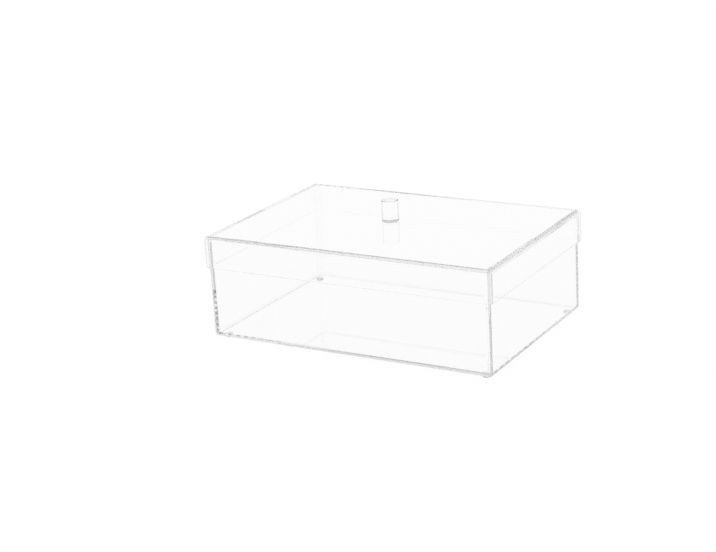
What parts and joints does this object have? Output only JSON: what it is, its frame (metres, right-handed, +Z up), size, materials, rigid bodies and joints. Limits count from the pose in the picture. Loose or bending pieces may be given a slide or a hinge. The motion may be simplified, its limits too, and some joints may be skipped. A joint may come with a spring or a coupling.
{
  "type": "acrylic storage box with lid",
  "caption": "Clear acrylic storage box with rounded corners, a lift-off skirted lid with a round knob, and small stick-on feet.",
  "frame": {"origin": "on the table under the middle of the closed box, at the underside of the feet", "axes": "+X along the long side to the right, -Y to the front, +Z up"},
  "size_m": [0.25, 0.17, 0.1022],
  "materials": {
    "clear_acrylic": "polished clear moulded acrylic",
    "clear_feet": "clear soft polyurethane"
  },
  "bodies": {
    "box": {"box_body": "clear_acrylic", "foot_front_left": "clear_feet", "foot_front_right": "clear_feet", "foot_back_left": "clear_feet", "foot_back_right": "clear_feet"},
    "lid": {"lid": "clear_acrylic", "knob": "clear_acrylic"}
  },
  "joints": [
    {"name": "lid_lift", "type": "slide", "parent": "box", "child": "lid", "axis": [0, 0, 1], "range_m": [0, 0.15]}
  ]
}
